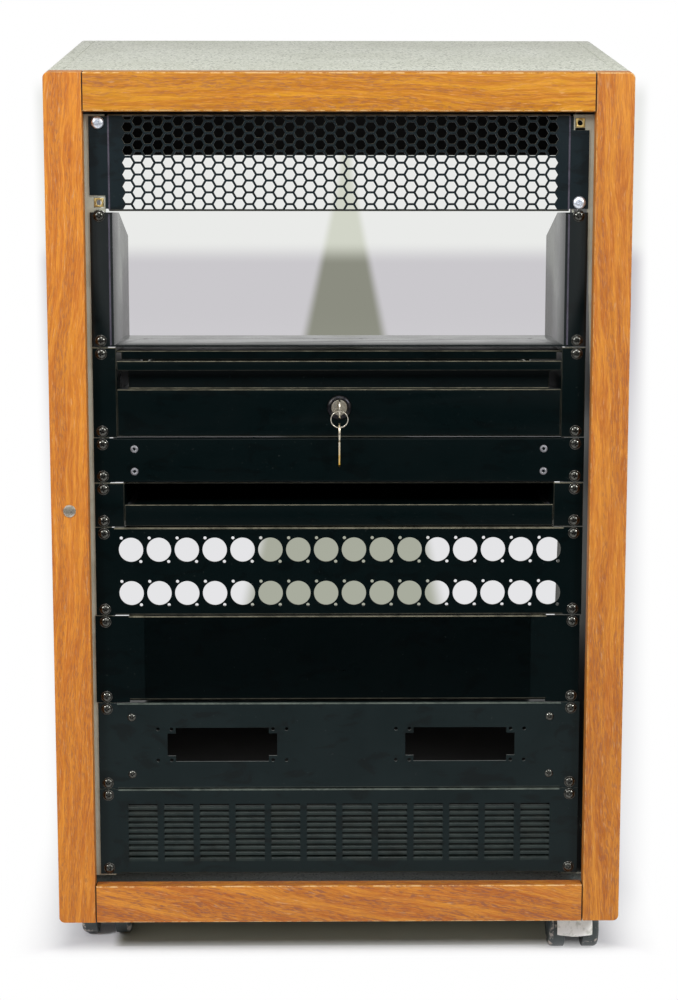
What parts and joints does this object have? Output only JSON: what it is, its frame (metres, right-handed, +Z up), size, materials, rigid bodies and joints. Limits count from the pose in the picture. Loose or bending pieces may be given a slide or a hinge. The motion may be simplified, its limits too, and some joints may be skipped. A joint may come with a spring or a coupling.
{
  "type": "studio rack stand",
  "caption": "Slant-front studio rack cabinet on casters: oak frame, laminate sides, vented panels, lockable drawer, sliding shelf and recessed box.",
  "frame": {"origin": "on the floor under the middle of the cabinet, midway between its sides and between its front bottom edge and its back", "axes": "+X to the right seen from the front, +Y towards the back, +Z up; the front faces -Y and leans back by 10 degrees"},
  "size_m": [0.565, 0.466, 0.8892],
  "materials": {
    "oak": "satin lacquered oak",
    "laminate": "speckled light grey laminate",
    "black_board": "black painted board",
    "black_steel": "satin black powder coat",
    "grey_steel": "satin charcoal paint",
    "rail_steel": "plated steel",
    "zinc": "bright zinc plate",
    "yellow_zinc": "yellow zinc plate",
    "nickel": "nickel plate",
    "lock_steel": "dark plated steel",
    "brass": "worn brass",
    "caster_hood": "light grey plastic",
    "caster_tread": "dark grey plastic"
  },
  "bodies": {
    "cabinet": {"left_side": "laminate", "right_side": "laminate", "top_panel": "laminate", "bottom_panel": "laminate", "rear_board": "black_board", "rear_board_lower": "black_board", "oak_stile_left": "oak", "oak_stile_right": "oak", "oak_rail_top": "oak", "oak_rail_bottom": "oak", "stile_button": "nickel", "rack_rail_left": "rail_steel", "rack_rail_right": "rail_steel", "hex_vent_panel": "black_steel", "zinc_screw_upper": "zinc", "zinc_screw_lower": "zinc", "cage_nut_upper_left": "yellow_zinc", "cage_nut_upper_right": "yellow_zinc", "cage_nut_lower_left": "yellow_zinc", "cage_nut_lower_right": "yellow_zinc", "open_tray": "black_steel", "drawer_housing": "black_steel", "drawer_slide_outer_left": "zinc", "drawer_slide_outer_right": "zinc", "blank_panel": "black_steel", "shelf_housing": "black_steel", "shelf_slide_outer_left": "zinc", "shelf_slide_outer_right": "zinc", "patch_panel": "black_steel", "vent_box": "black_steel", "connector_panel": "grey_steel", "slotted_vent_panel": "black_steel", "caster_plate_front_left": "zinc", "caster_plate_front_right": "zinc", "caster_plate_rear_left": "zinc", "caster_plate_rear_right": "zinc"},
    "drawer": {"drawer": "black_steel", "drawer_slide_inner_left": "zinc", "drawer_slide_inner_right": "zinc", "lock_barrel": "lock_steel"},
    "lock": {"lock_cylinder": "nickel", "lock_cam": "zinc", "lock_key": "nickel"},
    "key_ring": {"key_ring": "zinc"},
    "spare_key": {"spare_key": "brass"},
    "shelf": {"sliding_shelf": "black_steel", "shelf_slide_inner_left": "zinc", "shelf_slide_inner_right": "zinc"},
    "caster_front_left": {"caster_body_front_left": "caster_hood"},
    "caster_front_left_wheel_left": {"caster_front_left_wheel_left": "caster_tread"},
    "caster_front_left_wheel_right": {"caster_front_left_wheel_right": "caster_tread"},
    "caster_front_right": {"caster_body_front_right": "caster_hood"},
    "caster_front_right_wheel_left": {"caster_front_right_wheel_left": "caster_tread"},
    "caster_front_right_wheel_right": {"caster_front_right_wheel_right": "caster_tread"},
    "caster_rear_left": {"caster_body_rear_left": "caster_hood"},
    "caster_rear_left_wheel_left": {"caster_rear_left_wheel_left": "caster_tread"},
    "caster_rear_left_wheel_right": {"caster_rear_left_wheel_right": "caster_tread"},
    "caster_rear_right": {"caster_body_rear_right": "caster_hood"},
    "caster_rear_right_wheel_left": {"caster_rear_right_wheel_left": "caster_tread"},
    "caster_rear_right_wheel_right": {"caster_rear_right_wheel_right": "caster_tread"}
  },
  "joints": [
    {"name": "drawer_slide", "type": "slide", "parent": "cabinet", "child": "drawer", "axis": [0, -0.9848, 0.1736], "range_m": [0, 0.25]},
    {"name": "shelf_slide", "type": "slide", "parent": "cabinet", "child": "shelf", "axis": [0, -0.9848, 0.1736], "range_m": [0, 0.25]},
    {"name": "lock_turn", "type": "hinge", "parent": "drawer", "child": "lock", "pos_m": [0, -0.14262, 0.57254], "axis": [0, -0.9848, 0.1736], "range_deg": [0, 90]},
    {"name": "key_ring_swing", "type": "hinge", "parent": "lock", "child": "key_ring", "pos_m": [0, -0.14794, 0.57158], "axis": [-1, 0, 0], "range_deg": [-3, 45]},
    {"name": "spare_key_swing", "type": "hinge", "parent": "key_ring", "child": "spare_key", "pos_m": [0, -0.14794, 0.55498], "axis": [-1, 0, 0], "range_deg": [-2, 60]},
    {"name": "swivel_front_left", "type": "hinge", "parent": "cabinet", "child": "caster_front_left", "pos_m": [-0.2435, -0.157, 0.05], "axis": [0, 0, 1], "continuous": true},
    {"name": "wheel_front_left_left", "type": "hinge", "parent": "caster_front_left", "child": "caster_front_left_wheel_left", "pos_m": [-0.261, -0.141, 0.025], "axis": [1, 0, 0], "continuous": true},
    {"name": "wheel_front_left_right", "type": "hinge", "parent": "caster_front_left", "child": "caster_front_left_wheel_right", "pos_m": [-0.226, -0.141, 0.025], "axis": [1, 0, 0], "continuous": true},
    {"name": "swivel_front_right", "type": "hinge", "parent": "cabinet", "child": "caster_front_right", "pos_m": [0.2435, -0.157, 0.05], "axis": [0, 0, 1], "continuous": true},
    {"name": "wheel_front_right_left", "type": "hinge", "parent": "caster_front_right", "child": "caster_front_right_wheel_left", "pos_m": [0.226, -0.173, 0.025], "axis": [1, 0, 0], "continuous": true},
    {"name": "wheel_front_right_right", "type": "hinge", "parent": "caster_front_right", "child": "caster_front_right_wheel_right", "pos_m": [0.261, -0.173, 0.025], "axis": [1, 0, 0], "continuous": true},
    {"name": "swivel_rear_left", "type": "hinge", "parent": "cabinet", "child": "caster_rear_left", "pos_m": [-0.2435, 0.157, 0.05], "axis": [0, 0, 1], "continuous": true},
    {"name": "wheel_rear_left_left", "type": "hinge", "parent": "caster_rear_left", "child": "caster_rear_left_wheel_left", "pos_m": [-0.261, 0.141, 0.025], "axis": [1, 0, 0], "continuous": true},
    {"name": "wheel_rear_left_right", "type": "hinge", "parent": "caster_rear_left", "child": "caster_rear_left_wheel_right", "pos_m": [-0.226, 0.141, 0.025], "axis": [1, 0, 0], "continuous": true},
    {"name": "swivel_rear_right", "type": "hinge", "parent": "cabinet", "child": "caster_rear_right", "pos_m": [0.2435, 0.157, 0.05], "axis": [0, 0, 1], "continuous": true},
    {"name": "wheel_rear_right_left", "type": "hinge", "parent": "caster_rear_right", "child": "caster_rear_right_wheel_left", "pos_m": [0.226, 0.141, 0.025], "axis": [1, 0, 0], "continuous": true},
    {"name": "wheel_rear_right_right", "type": "hinge", "parent": "caster_rear_right", "child": "caster_rear_right_wheel_right", "pos_m": [0.261, 0.141, 0.025], "axis": [1, 0, 0], "continuous": true}
  ]
}
